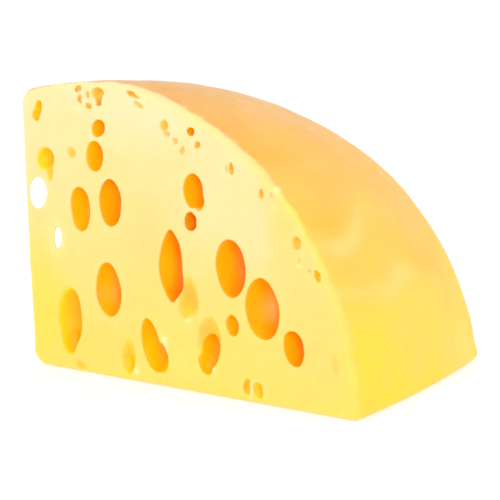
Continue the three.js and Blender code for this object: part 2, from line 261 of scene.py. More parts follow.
BACK = [
    (17.0, 84.0, 4.5, 6.2, 8.0, 0.30, 0, 0.7, 0.05),
    (35.0, 92.0, 2.7, 3.3, 4.6, 0.20, 10, 0.6, 0.06),
    (48.0, 74.0, 6.2, 9.4, 10.5, 0.28, -5, 0.8, 0.05),
    (70.5, 86.0, 4.3, 5.4, 3.6, -0.30, 0, 1.1, 0.06),
    (81.0, 66.5, 5.2, 8.2, 9.0, 0.28, 8, 0.8, 0.05),
    (104.0, 68.0, 3.5, 4.5, 6.0, 0.25, 0, 0.6, 0.05),
    (108.5, 44.0, 6.6, 10.0, 11.0, 0.28, 5, 0.9, 0.05),
    (131.0, 26.0, 4.8, 6.8, 8.0, 0.30, -8, 0.7, 0.05),
    (88.5, 31.0, 5.6, 9.6, 9.5, 0.28, 0, 0.8, 0.05),
    (64.5, 44.5, 4.5, 7.0, 8.0, 0.28, 4, 0.7, 0.05),
    (43.0, 40.5, 6.4, 10.4, 11.0, 0.28, 0, 0.9, 0.05),
    (18.0, 52.5, 5.4, 8.6, 9.0, 0.25, -4, 0.8, 0.05),
    (22.5, 21.5, 6.1, 8.5, 4.2, -0.38, 0, 1.2, 0.06),
    (62.0, 17.0, 4.9, 6.8, 8.0, 0.28, 6, 0.7, 0.05),
    (112.0, 14.5, 3.5, 5.1, 6.0, 0.25, 0, 0.6, 0.05),
    (58.0, 95.5, 1.3, 1.0, 0.9, 0.0, 15, 0.5, 0.25),
    (62.5, 92.5, 0.8, 1.4, 0.7, 0.0, 0, 0.5, 0.25),
    (92.0, 81.5, 1.6, 1.3, 1.0, 0.0, 30, 0.5, 0.2),
    (96.5, 78.5, 0.9, 1.2, 0.6, 0.0, 20, 0.5, 0.25),
    (122.0, 56.0, 1.3, 2.3, 1.1, 0.0, 12, 0.5, 0.2),
    (30.0, 66.5, 2.1, 2.8, 1.1, -0.3, 0, 0.8, 0.12),
    (83.0, 49.5, 1.9, 2.4, 3.4, 0.2, 0, 0.5, 0.1),
    (40.0, 13.5, 2.8, 4.2, 1.3, -0.45, 10, 1.0, 0.1),
    (99.0, 9.0, 1.7, 2.6, 1.3, -0.1, 0, 0.6, 0.15),
    (126.0, 8.5, 1.4, 2.3, 1.0, 0.0, 0, 0.6, 0.15),
]
FOOT = [
    (24.0, 26.0, 5.4, 8.0, 8.5, 0.28, 12, 0.8, 0.05),
    (46.0, 47.0, 3.5, 4.7, 5.5, 0.25, 0, 0.6, 0.06),
    (35.0, 84.0, 6.0, 8.6, 9.0, 0.28, -6, 0.8, 0.05),
    (58.0, 24.0, 4.3, 6.3, 3.0, -0.40, 0, 1.0, 0.06),
    (100.0, 36.0, 5.8, 8.8, 9.0, 0.28, 8, 0.8, 0.05),
    (124.0, 60.0, 5.2, 7.8, 9.0, 0.28, 0, 0.8, 0.05),
    (96.0, 84.0, 5.4, 7.4, 8.0, 0.28, -10, 0.8, 0.05),
    (62.0, 90.0, 3.7, 4.9, 5.5, 0.25, 0, 0.6, 0.06),
    (130.0, 28.0, 3.5, 4.9, 5.0, 0.20, 0, 0.6, 0.06),
    (79.0, 19.0, 1.5, 2.0, 1.2, 0.0, 10, 0.5, 0.2),
    (18.0, 58.0, 2.2, 3.0, 2.6, 0.1, 0, 0.5, 0.1),
]
THROUGH = [   # (x, y, z, half length, width, height, plan, rise, rim, warp)
    (-1.75, 7.5, 70.65, 20.0, 3.85, 7.2, 135.4, -4.0, 0.8, 0.02),
    (1.65, 14.7, 51.4, 34.0, 1.7, 5.2, 134.3, -6.5, 0.8, 0.02),
]

# Small raised ridges and lips beside the eyes on the front cut:
# (u, v, half width, half height, tilt, how far they stand out)
LUMPS = [
    (81.7, 29.1, 1.0, 3.6, 38, 0.50), (41.3, 107.9, 0.7, 2.6, 8, 0.35),
    (61.3, 107.2, 0.6, 2.1, 10, 0.30), (69.7, 18.5, 1.3, 2.2, -30, 0.45),
    (118.3, 76.5, 1.0, 1.3, -30, 0.40), (117.6, 70.8, 0.7, 0.9, -20, 0.30),
    (55.6, 4.9, 1.8, 1.8, 20, 0.40), (91.4, 10.3, 1.6, 1.8, -20, 0.35),
    (108.8, 5.4, 0.8, 3.0, 12, 0.55), (127.9, 51.0, 1.1, 0.8, 0, 0.25),
    (70.6, 13.5, 0.8, 3.4, -6, 0.35), (28.6, 104.5, 1.6, 0.7, 15, 0.2),
]


def rot_y(a):
    c, s = math.cos(a), math.sin(a)
    return np.array([[c, 0, s], [0, 1, 0], [-s, 0, c]])


def rot_z(a):
    c, s = math.cos(a), math.sin(a)
    return np.array([[c, -s, 0], [s, c, 0], [0, 0, 1]])


def rot_x(a):
    c, s = math.cos(a), math.sin(a)
    return np.array([[1, 0, 0], [0, c, -s], [0, s, c]])


FACES = {
    "front": (np.eye(3), lambda u, v: (u, 0.0, v)),
    "left": (rot_y(-LEAN) @ rot_z(-math.pi / 2), lambda u, v: (-TAN * v, u, v)),
    "back": (rot_z(math.pi), lambda u, v: (u, DEPTH, v)),
    "foot": (rot_x(math.pi / 2), lambda u, v: (u, v, 0.0)),
}
HOLLOWS = []   # centre, axes as columns, radii, rim, warp, seed, pointed, depth, tone


def add_eyes(face, rows, pointed=False):
    turn, place = FACES[face]
    for row in rows:
        u, v, hu, hv, depth, k, tilt, rim, warp = row[:9]
        # an eye without a tone of its own is painted orange when deeper than 3 mm and pale when shallower: painted
        # shade in the deep hollows
        tone = row[9] if len(row) > 9 else (0.75 if depth > 3 else -1)
        half = depth / (1 + k)
        opened = math.sqrt(1 - k * k)
        axes = turn @ rot_y(math.radians(tilt))
        centre = np.array(place(u, v)) + turn @ np.array([0, k * half, 0])
        HOLLOWS.append((centre, axes, np.array([hu / opened, half, hv / opened]),
                        rim, warp, len(HOLLOWS) + 100, pointed, depth, tone))


add_eyes("front", FRONT)
add_eyes("front", [LENS], True)
add_eyes("left", LEFT)
add_eyes("back", BACK)
add_eyes("foot", FOOT)
for x, y, z, ln, wd, ht, plan, rise, rim, warp in THROUGH:
    HOLLOWS.append((np.array([x, y, z]), rot_z(math.radians(plan)) @ rot_y(-math.radians(rise)),
                    np.array([ln, wd, ht]), rim, warp, len(HOLLOWS) + 100, False, 6.0, -2))


def hollow_distance(P, h):
    centre, axes, r, rim, warp, seed, pointed = h[:7]
    q = (P - centre.astype(np.float32)) @ axes.astype(np.float32)
    size = float(min(r[0], r[2]))
    if warp:
        for i, sd in enumerate((seed, seed + 1000, seed + 2000)):
            q[:, i] += warp * size * waves(P, size * 2.6, sd, 4)
    if pointed:
        # two overlapping ovals leave an almond with pointed ends
        shift = 0.75 * r[0]
        big = np.array([r[0] + shift, r[1] * 1.05, r[2] * 1.28], np.float32)
        parts = []
        for sgn in (-1, 1):
            w = q.copy()
            w[:, 0] += sgn * shift
            k0 = np.sqrt(((w / big)**2).sum(1))
            k1 = np.sqrt(((w / big**2)**2).sum(1)) + 1e-6
            parts.append(k0 * (k0 - 1) / k1)
        return smooth_max(parts[0], parts[1], 1.2)
    r = r.astype(np.float32)
    k0 = np.sqrt(((q / r)**2).sum(1))
    k1 = np.sqrt(((q / r**2)**2).sum(1)) + 1e-6
    return k0 * (k0 - 1) / k1


def smooth_max(a, b, k):
    h = np.maximum(k - np.abs(a - b), 0) / k
    return np.maximum(a, b) + h * h * k * 0.25


def reach(h):
    """Half size of the box that holds a hollow."""
    centre, axes, r, rim, warp, seed, pointed = h[:7]
    return np.sqrt(((axes * r)**2).sum(1)) * (1.3 if pointed else 1.08) + 2.0 * rim + 0.6


def field(P):
    """Distance-like value of the finished wedge: below 0 inside."""
    P = P.astype(np.float32)
    d, d2, dy = slab(P)
    d = d + bumps(P, d2, dy)
    for u, v, hu, hv, tilt, up in LUMPS:
        near = np.flatnonzero((np.abs(P[:, 0] - u) < hu + hv + 1.5) & (np.abs(P[:, 2] - v) < hu + hv + 1.5)
                              & (P[:, 1] < 4))
        if len(near):
            a = math.radians(tilt)
            x, z = P[near, 0] - u, P[near, 2] - v
            w = ((x * math.cos(a) - z * math.sin(a)) / hu)**2 + ((x * math.sin(a) + z * math.cos(a)) / hv)**2
            d[near] -= up * np.exp(-w).astype(np.float32)
    for h in HOLLOWS:
        lim = reach(h)
        near = np.flatnonzero((np.abs(P - h[0].astype(np.float32)) < lim.astype(np.float32)).all(1))
        if len(near):
            d[near] = smooth_max(d[near], -hollow_distance(P[near], h), h[3])
    return d


def slope(P, eps=0.06):
    g = np.empty((len(P), 3), np.float32)
    for i in range(3):
        e = np.zeros(3, np.float32)
        e[i] = eps
        g[:, i] = field(P + e) - field(P - e)
    return g / (2 * eps)


# -------------------------------------------------------------- the mesh
def surface_mesh(step):
    """Surface nets on the field: vertices in mm and quads facing out."""
    lo = np.array([-6.0, -2.5, -1.5])
    hi = np.array([156.5, 112.5, 122.0])
    n = np.ceil((hi - lo) / step).astype(int) + 1
    xs = [(lo[i] + step * np.arange(n[i])).astype(np.float32) for i in range(3)]
    val = np.full(tuple(n), 5.0, np.float32)
    # coarse pass over the slab, so that the fine one only runs near a surface
    cs = 4
    cx = [x[::cs] for x in xs]
    C = np.stack(np.meshgrid(*cx, indexing="ij"), -1).reshape(-1, 3)
    dc = slab(C)[0].reshape([len(c) for c in cx])
    full = np.repeat(np.repeat(np.repeat(dc, cs, 0), cs, 1), cs, 2)[:n[0], :n[1], :n[2]]
    band = cs * step * 1.8 + 1.2
    need = np.abs(full) < band
    val[:] = np.where(full < 0, -5.0, 5.0)
    del full
    for h in HOLLOWS:
        lim = reach(h)
        sl = []
        for i in range(3):
            a = int(np.clip(np.floor((h[0][i] - lim[i] - lo[i]) / step), 0, n[i]))
            b = int(np.clip(np.ceil((h[0][i] + lim[i] - lo[i]) / step) + 1, 0, n[i]))
            sl.append(slice(a, b))
        need[tuple(sl)] = True
    idx = np.nonzero(need)
    del need
    flat = np.ravel_multi_index(idx, tuple(n))
    out = np.empty(len(flat), np.float32)
    CH = 1_500_000
    for s in range(0, len(flat), CH):
        P = np.stack([xs[0][idx[0][s:s + CH]], xs[1][idx[1][s:s + CH]], xs[2][idx[2][s:s + CH]]], 1)
        out[s:s + CH] = field(P)
    val.ravel()[flat] = out
    ins = val < 0
    cnt = np.zeros(tuple(n - 1), np.uint8)
    offs = [(i, j, k) for i in (0, 1) for j in (0, 1) for k in (0, 1)]
    for i, j, k in offs:
        cnt += ins[i:n[0] - 1 + i, j:n[1] - 1 + j, k:n[2] - 1 + k]
    ci, cj, ck = np.nonzero((cnt > 0) & (cnt < 8))
    del cnt
    cellid = np.full(tuple(n - 1), -1, np.int32)
    cellid[ci, cj, ck] = np.arange(len(ci), dtype=np.int32)
    V8 = np.stack([val[ci + i, cj + j, ck + k] for i, j, k in offs], 1)
    O = np.array(offs, np.float32)
    acc = np.zeros((len(ci), 3), np.float32)
    num = np.zeros(len(ci), np.float32)
    for a in range(8):
        for b in range(a + 1, 8):
            if np.abs(O[a] - O[b]).sum() != 1:
                continue
            va, vb = V8[:, a], V8[:, b]
            cross = (va < 0) != (vb < 0)
            t = np.where(cross, va / np.where(cross, va - vb, 1), 0)
            acc += np.where(cross[:, None], O[a] + t[:, None] * (O[b] - O[a]), 0)
            num += cross
    verts = (np.stack([ci, cj, ck], 1) + acc / num[:, None]) * step + lo
    quads = []
    for ax in range(3):
        u, v = (ax + 1) % 3, (ax + 2) % 3
        lo_s = [slice(0, None)] * 3
        hi_s = [slice(0, None)] * 3
        lo_s[ax] = slice(0, n[ax] - 1)
        hi_s[ax] = slice(1, n[ax])
        a, b = ins[tuple(lo_s)], ins[tuple(hi_s)]
        e = np.stack(np.nonzero(a != b), 1)
        ok = (e[:, u] > 0) & (e[:, v] > 0) & (e[:, u] < n[u] - 1) & (e[:, v] < n[v] - 1)
        e = e[ok]
        inside_first = a[tuple(e.T)]
        du, dv = np.zeros(3, int), np.zeros(3, int)
        du[u] = 1
        dv[v] = 1
        c0, c1, c2, c3 = (cellid[tuple((e - o).T)] for o in (du * 0, du, du + dv, dv))
        q = np.stack([c0, c1, c2, c3], 1)
        q[~inside_first] = q[~inside_first][:, ::-1]
        quads.append(q)
    return verts.astype(np.float32), np.vstack(quads)


def settle(P, rounds=3, cap=0.5):
    """Moves points onto the surface along its slope."""
    for _ in range(rounds):
        g = slope(P)
        f = field(P)
        g2 = np.maximum((g**2).sum(1), 0.05)
        stepv = (f / g2)[:, None] * g
        ln = np.linalg.norm(stepv, axis=1, keepdims=True)
        P = P - stepv * np.minimum(1, cap / np.maximum(ln, 1e-9))
    return P


# ------------------------------------------------------------------ colours
def lin(r, g, b):
    """0-255 display colour to linear."""
    c = np.array([r, g, b], float) / 255
    return np.where(c <= 0.04045, c / 12.92, ((c + 0.055) / 1.055)**2.4)


def step01(a, b, x):
    t = np.clip((x - a) / (b - a), 0, 1)
    return t * t * (3 - 2 * t)


def ramp(x, stops):
    """Linear blend through (position, colour) stops."""
    xs = [s[0] for s in stops]
    cs = np.array([s[1] for s in stops])
    return np.stack([np.interp(x, xs, cs[:, i]) for i in range(3)], 1)


# How bright the studio makes a face and the inside of an eye, so that the base
# colours below can be given as they should look.
ON_FACE, IN_EYE = 1.22, 0.85

# Soft clouds of colour on the front cut: (x, z, reach x, reach z, colour, share)
FRONT_CLOUDS = [
    (52, 102, 22, 9, (255, 241, 188), 0.8), (98, 70, 17, 22, (255, 238, 176), 0.75), (113, 62, 7, 12, (255, 238, 190), 0.8),
    (92, 37, 9, 9, (254, 226, 118), 0.5), (124, 49, 6, 12, (254, 226, 134), 0.5),
    (61, 56, 11, 14, (254, 222, 128), 0.6), (121, 66, 9, 13, (254, 228, 108), 0.7),
    (15, 52, 5, 9, (255, 250, 188), 0.6), (8, 26, 12, 28, (254, 231, 66), 0.75),
    (31, 11, 17, 11, (254, 224, 100), 0.5), (134, 24, 12, 20, (254, 226, 122), 0.6),
    (104, 9, 20, 8, (254, 231, 112), 0.6), (58, 36, 14, 10, (254, 227, 116), 0.5),
    (20, 95, 13, 12, (254, 236, 168), 0.6), (79, 12, 9, 11, (254, 238, 112), 0.5),
]
# Painted highlights (the paler patches) and painted shade (the browner ones, in the small chips near the top) inside
# the eyes: (x, z, reach x, reach z, colour, share)
EYE_GLINTS_AND_SHADE = [
    (109.9, 33.6, 2.6, 4.0, (255, 190, 96), 0.75), (76.2, 56.0, 1.8, 3.2, (255, 190, 130), 0.85),
    (100.8, 46.0, 1.2, 3.0, (255, 186, 70), 0.6), (35.4, 32.0, 1.8, 3.0, (255, 196, 80), 0.6),
    (72.2, 47.6, 1.0, 2.0, (255, 190, 90), 0.5), (38.6, 106.6, 1.4, 1.0, (214, 140, 24), 0.9),
    (29.6, 112.8, 2.0, 1.2, (230, 182, 50), 0.6), (33.6, 104.6, 1.8, 1.0, (232, 188, 50), 0.6),
    (58.2, 110.6, 2.2, 1.0, (206, 166, 60), 0.8), (18.6, 81.6, 2.4, 2.6, (250, 206, 120), 0.5),
]
# and on the rind, its own mottling together with narrow pale streaks that are painted highlights along its soft folds
# and darker patches high on the curve that are painted shade: (height round the curve 0..1, depth 0..1, reach, reach,
# ...)
RIND_MOTTLE_AND_PAINTED_LIGHT = [
    (0.98, 0.12, 0.10, 0.22, (210, 177, 140), 0.8), (0.80, 0.32, 0.05, 0.20, (234, 196, 150), 0.7),
    (0.73, 0.62, 0.04, 0.22, (244, 200, 138), 0.7), (0.66, 0.10, 0.07, 0.14, (248, 182, 76), 0.8),
    (0.58, 0.45, 0.06, 0.20, (254, 202, 122), 0.7), (0.53, 0.12, 0.04, 0.14, (252, 190, 70), 0.7),
    (0.44, 0.16, 0.030, 0.22, (252, 198, 56), 0.9), (0.46, 0.50, 0.05, 0.14, (254, 200, 84), 0.7),
    (0.38, 0.45, 0.06, 0.30, (254, 210, 84), 0.6), (0.40, 0.36, 0.014, 0.22, (255, 222, 120), 0.3),
    (0.30, 0.10, 0.020, 0.16, (254, 208, 66), 0.8), (0.27, 0.20, 0.016, 0.26, (255, 240, 150), 0.9),
    (0.24, 0.45, 0.05, 0.25, (254, 218, 84), 0.7), (0.18, 0.34, 0.016, 0.30, (255, 240, 138), 0.9),
    (0.21, 0.70, 0.03, 0.16, (254, 214, 72), 0.7), (0.13, 0.42, 0.012, 0.24, (255, 236, 120), 0.8),
    (0.06, 0.12, 0.07, 0.20, (255, 244, 52), 0.8), (0.10, 0.60, 0.06, 0.25, (254, 236, 84), 0.6),
    (0.33, 0.75, 0.06, 0.20, (254, 216, 116), 0.6), (0.04, 0.85, 0.05, 0.16, (255, 244, 130), 0.6),
]


def paint(P):
    """Base colour and the masks of each point, from where it lies."""
    P = P.astype(np.float32)
    d, d2, dy = slab(P)
    x, y, z = P[:, 0], P[:, 1], P[:, 2]
    n1, n2, n3 = (waves(P, s, k) for s, k in ((48, 301), (22, 302), (9, 303)))
    # way round the softened edge, in mm: 0 where the rind ends, 3.9 on the cut
    round_ = np.arctan2(np.maximum(dy + RIM, 0), np.maximum(d2 + RIM, 1e-3)) * RIM
    way = round_ + np.maximum(-d2 - RIM, 0) - np.maximum(-dy - RIM, 0)
    off_flat = step01(0.5, 3.5, x + TAN * z) * step01(0.4, 2.4, z)
    wob = way + 0.9 * n2 + 0.55 * n3
    rind = off_flat * (1 - step01(-0.7, 1.0, wob))
    rim = off_flat * np.exp(-((way - 2.0 + 0.7 * n3) / 1.5)**2)
    edge = (1 - off_flat) * np.exp(-((way - 1.6) / 1.8)**2)

    eye, part, side, glow = (np.zeros(len(P), np.float32) for _ in range(4))
    tone = np.full(len(P), 0.75, np.float32)
    light_in = np.full(len(P), IN_EYE, np.float32)
    for h in HOLLOWS:
        lim = reach(h)
        near = np.flatnonzero((np.abs(P - h[0].astype(np.float32)) < lim.astype(np.float32)).all(1))
        if not len(near):
            continue
        hd = hollow_distance(P[near], h)
        q = ((P[near] - h[0].astype(np.float32)) @ h[1].astype(np.float32)[:, 0]) / h[2][0]
        # the left lips are soft, the right ones crisp
        soft = (0.30 + 0.34 * h[3]) * np.clip(0.75 - 0.5 * q, 0.35, 1.2)
        m = (1 - step01(0.02, soft + 0.6 * np.clip(-d[near] - 0.4, 0, 2.5), hd)) * min(1.0, (h[7] / 1.15)**1.3)
        # the walls of the two through eyes take a painted glow instead of eye colour
        if h[8] < -1.5:
            glow[near] = np.maximum(glow[near], (1 - step01(0.1, 0.9, hd)) * step01(0.0, 0.8, -d[near]))
            continue
        better = m > eye[near]
        sel = near[better]
        eye[sel] = m[better]
        tone[sel] = h[8]
        light_in[sel] = np.interp(h[7], [1.5, 6.5], [0.97, IN_EYE])
        side[sel] = np.clip(q[better], -1, 1)
        part[sel] = np.clip(-d[sel] / h[7], 0, 1)
    # painted light and shade: the left wall of each eye is painted yellower and its right wall more orange, as the
    # light falls across the hollow
    lit_to_shaded = np.clip((side + 0.30) / 0.70, -1, 1)
    tone = tone + np.where(lit_to_shaded < 0, 0.55, 0.50) * np.where(tone > -0.5, 1.0, 0.5) * lit_to_shaded * np.clip(part * 4, 0, 1)
    deep = np.clip(-d, 0, 20)
    part = np.clip(part + 0.05 * n3, 0, 1)

    paste = ramp(z + 5 * n1 + 2.5 * n2, [
        (0, lin(254, 232, 104)), (18, lin(254, 230, 110)), (45, lin(254, 231, 134)),
        (75, lin(254, 233, 154)), (110, lin(254, 238, 176))])
    front = step01(8.0, 1.0, y)
    for cx, cz, rx, rz, c, share in FRONT_CLOUDS:
        w = share * front * np.exp(-((x - cx) / rx)**2 - ((z - cz) / rz)**2)
        paste += (lin(*c) - paste) * w[:, None]
    paste = paste * (1 + 0.012 * n3[:, None] * np.array([0.2, 0.8, 2.0]))
    turn = np.clip(np.arctan2(z, x) / FULL, 0, 1)
    # painted shade: the rind turns from yellow at the foot to a darker peach at the top of its curve
    band = ramp(turn + 0.03 * n1 + 0.015 * n2, [
        (0.0, lin(254, 240, 66)), (0.10, lin(254, 236, 88)), (0.25, lin(254, 224, 98)),
        (0.40, lin(254, 208, 86)), (0.52, lin(253, 201, 92)), (0.66, lin(238, 192, 110)),
        (0.80, lin(222, 184, 120)), (1.0, lin(213, 183, 138))])
    s = y / DEPTH
    # the rind's mottling, with painted highlights on its folds and painted shade high on the curve
    for ct, cs, rt, rs, c, share in RIND_MOTTLE_AND_PAINTED_LIGHT:
        w = share * np.exp(-((turn - ct + 0.02 * n1) / rt)**2 - ((s - cs + 0.05 * n2) / rs)**2)
        band += (lin(*c) - band) * w[:, None]
    # painted highlight: the rounded rim between the front and back cuts and the rind is painted as a pale band, paler
    # towards the top
    light = ramp(z + 6 * n2, [(0, lin(254, 234, 84)), (30, lin(254, 235, 92)), (60, lin(254, 238, 108)),
                              (85, lin(255, 241, 130)), (112, lin(255, 243, 170))])
    out = paste.copy()
    # painted highlight: a pale band along the rounded edges at the left cut and the foot, stronger low down
    out += (lin(251, 239, 128) - out) * (0.55 * edge * step01(125, 20, z) + 0.2 * edge)[:, None]
    out += (light - out) * (0.8 * rim * (0.85 + 0.25 * n3))[:, None]
    out = out / np.array([1.05, ON_FACE * 1.07, ON_FACE * 1.03])
    band = band / np.array([1.14, 1.34, 1.62])
    out += (band - out) * rind[:, None]

    # painted highlight: the raised ridges and lips are painted pale, as if they catch the light
    for u, v, hu, hv, tilt, up in LUMPS:
        a = math.radians(tilt)
        lx, lz = x - u, z - v
        w = ((lx * math.cos(a) - lz * math.sin(a)) / hu)**2 + ((lx * math.sin(a) + lz * math.cos(a)) / hv)**2
        w = np.exp(-1.3 * w) * (y < 2.5) * np.clip(1.8 * up, 0, 0.85)
        out += (np.array([0.94, 0.80, 0.47]) - out) * w[:, None]

    # painted shade in the eyes: pale at the lip, deeper and more orange inside and in eyes of higher tone, standing in
    # for the shade that falls in the hollows
    def by_tone(pale, yellow, orange, dark):
        t = np.clip(tone, -1, 1.5)[:, None]
        c = np.where(t < 0, pale + (yellow - pale) * (t + 1), yellow + (orange - yellow) * np.minimum(t, 1))
        return c + (dark - c) * np.clip((t - 1) / 0.5, 0, 1)
    lip = by_tone(lin(253, 222, 128), lin(254, 222, 60), lin(253, 206, 52), lin(244, 168, 36))
    wall = by_tone(lin(250, 203, 92), lin(254, 209, 18), lin(254, 186, 10), lin(248, 150, 10))
    heart = by_tone(lin(246, 188, 70), lin(254, 204, 6), lin(254, 164, 3), lin(244, 128, 4))
    core = by_tone(lin(240, 176, 60), lin(253, 196, 3), lin(249, 150, 3), lin(232, 108, 3))
    p = part[:, None]
    hole = lip + (wall - lip) * np.clip((p - 0.05) / 0.25, 0, 1)
    hole += (heart - hole) * np.clip((p - 0.30) / 0.35, 0, 1)
    hole += (core - hole) * np.clip((p - 0.68) / 0.32, 0, 1)
    # the side of a deep eye that faces the light is yellower
    w = 0.55 * np.clip((-side - 0.50) / 0.35, 0, 1) * np.clip(tone + 0.4, 0, 1) * np.clip((p[:, 0] - 0.02) / 0.1, 0, 1)
    hole += (lin(252, 202, 4) - hole) * w[:, None]
    # painted light: the lip on the lit left side of a deep eye is painted yellow as well
    w = 0.7 * (1 - step01(0.06, 0.38, p[:, 0])) * np.clip((-side - 0.2) / 0.3, 0, 1) * np.clip(tone + 0.9, 0, 1)
    hole += (lin(253, 206, 14) - hole) * (w * (light_in < 0.9))[:, None]
    # painted highlights and painted shade from the table above, inside the eyes
    for u, v, ru, rv, c, w in EYE_GLINTS_AND_SHADE:
        w = w * np.exp(-((x - u) / ru)**2 - ((z - v) / rv)**2) * (y < 14)
        hole += (lin(*c) - hole) * w[:, None]
    hole = hole / (light_in[:, None] * np.array([1.12, 1.06, 1.0]))
    width = np.clip(0.75 - 0.55 * side, 0.3, 1.2)
    width = np.where((side < 0) & (light_in < 0.9), 0.75 - 1.5 * side, width)
    share = eye * step01(0.02, 0.55 * width, deep)
    out += (hole - out) * share[:, None]
    # painted light: the walls of the two through eyes are painted pale, as if lit from behind
    out += (np.array([0.965, 0.84, 0.50]) - out) * (0.9 * glow)[:, None]
    share = np.maximum(share, glow)
    rind = rind * (1 - share)
    return np.clip(out, 0.004, 0.965), rind, share, glow


def drop_flaps(bm):
    """Take out pairs of triangles that lie back to back on the same corners."""
    seen = {}
    for f in bm.faces:
        seen.setdefault(frozenset(v.index for v in f.verts), []).append(f)
    twice = [f for fs in seen.values() if len(fs) > 1 for f in fs]
    if twice:
        bmesh.ops.delete(bm, geom=twice, context="FACES")
    bmesh.ops.delete(bm, geom=[e for e in bm.edges if not e.link_faces], context="EDGES")
    bmesh.ops.delete(bm, geom=[v for v in bm.verts if not v.link_faces], context="VERTS")
    bm.verts.index_update()


def mend(me):
    """Weld slivers and leave each edge between exactly two faces."""
    bm = bmesh.new()
    bm.from_mesh(me)
    bmesh.ops.remove_doubles(bm, verts=bm.verts[:], dist=0.07)
    bm.verts.index_update()
    drop_flaps(bm)
    for _ in range(8):
        used, weld = set(), {}
        for e in bm.edges:
            if len(e.link_faces) > 2 and not used & set(e.verts):
                used |= set(e.verts)
                weld[e.verts[0]] = e.verts[1]
        if not weld:
            break
        bmesh.ops.weld_verts(bm, targetmap=weld)
        bm.verts.index_update()
        drop_flaps(bm)
    bm.to_mesh(me)
    bm.free()


def cheese_mesh():
    v, q = surface_mesh(0.6)
    v = settle(v, 2)
    me = bpy.data.meshes.new("cheese")
    me.from_pydata([], [], [])
    me.vertices.add(len(v))
    me.vertices.foreach_set("co", v.astype(np.float32).ravel())
    me.loops.add(len(q) * 4)
    me.loops.foreach_set("vertex_index", q.astype(np.int32).ravel())
    me.polygons.add(len(q))
    me.polygons.foreach_set("loop_start", np.arange(len(q), dtype=np.int32) * 4)
    me.update(calc_edges=True)
    me.validate()
    ob = bpy.data.objects.new("cheese", me)
    bpy.context.scene.collection.objects.link(ob)
    thin = ob.modifiers.new("thin", "DECIMATE")
    thin.ratio = 190_000 / (2 * len(q))
    dg = bpy.context.evaluated_depsgraph_get()
    done = bpy.data.meshes.new_from_object(ob.evaluated_get(dg))
    ob.modifiers.clear()
    ob.data = done
    bpy.data.meshes.remove(me)
    me = done
    co = np.empty(len(me.vertices) * 3, np.float32)
    me.vertices.foreach_get("co", co)
    me.vertices.foreach_set("co", settle(co.reshape(-1, 3), 2).astype(np.float32).ravel())
    mend(me)
    co = np.empty(len(me.vertices) * 3, np.float32)
    me.vertices.foreach_get("co", co)
    P = co.reshape(-1, 3)
    P[:, 2] = np.maximum(P[:, 2], 0)
    N = slope(P)
    N /= np.maximum(np.linalg.norm(N, axis=1, keepdims=True), 1e-9)
    col, rind, eye, thin_wall = paint(P)
    out = (P - np.array([CENTRE_X, CENTRE_Y, 0])) * 0.001
    me.vertices.foreach_set("co", out.astype(np.float32).ravel())
    me.update()
    me.shade_smooth()
    me.normals_split_custom_set_from_vertices(N.tolist())
    at = me.color_attributes.new("tint", "FLOAT_COLOR", "POINT")
    at.data.foreach_set("color", np.hstack([col, np.ones((len(col), 1))]).astype(np.float32).ravel())
    for name, w in (("rind", rind), ("eye", eye), ("thin_wall", thin_wall)):
        a = me.attributes.new(name, "FLOAT", "POINT")
        a.data.foreach_set("value", w.astype(np.float32))
    ob.name = "cheese_paste_and_rind"
    return ob


# ---------------------------------------------------------------- materials
def nodes_of(name):
    m = bpy.data.materials.new(name)
    m.use_nodes = True
    t = m.node_tree
    t.nodes.clear()
    out = t.nodes.new("ShaderNodeOutputMaterial")
    bsdf = t.nodes.new("ShaderNodeBsdfPrincipled")
    t.links.new(bsdf.outputs[0], out.inputs[0])
    return m, t, bsdf


def node(t, kind, **kw):
    n = t.nodes.new(kind)
    for k, v in kw.items():
        if k.startswith("in_"):
            n.inputs[k[3:].replace("_", " ")].default_value = v
        else:
            setattr(n, k, v)
    return n


def math_node(t, op, a, b=None, c=None, clamp=False):
    n = t.nodes.new("ShaderNodeMath")
    n.operation = op
    n.use_clamp = clamp
    for i, s in enumerate((a, b, c)):
        if s is None:
            continue
        if hasattr(s, "links") or isinstance(s, bpy.types.NodeSocket):
            t.links.new(s, n.inputs[i])
        else:
            n.inputs[i].default_value = s
    return n.outputs[0]


def noise(t, vec, scale, detail=3.0, rough=0.5):
    n = node(t, "ShaderNodeTexNoise")
    n.inputs["Scale"].default_value = scale
    n.inputs["Detail"].default_value = detail
    n.inputs["Roughness"].default_value = rough
    t.links.new(vec, n.inputs["Vector"])
    return n.outputs["Fac"]


def remap(t, v, a, b, lo, hi):
    n = t.nodes.new("ShaderNodeMapRange")
    t.links.new(v, n.inputs["Value"])
    for k, x in zip(("From Min", "From Max", "To Min", "To Max"), (a, b, lo, hi)):
        n.inputs[k].default_value = x
    return n.outputs[0]


def mix_colour(t, fac, a, b, blend="MIX"):
    n = t.nodes.new("ShaderNodeMix")
    n.data_type = "RGBA"
    n.blend_type = blend
    for sock, s in ((n.inputs[0], fac), (n.inputs[6], a), (n.inputs[7], b)):
        if isinstance(s, bpy.types.NodeSocket):
            t.links.new(s, sock)
        elif isinstance(s, (int, float)):
            sock.default_value = s
        else:
            sock.default_value = (*s, 1)
    return n.outputs[2]


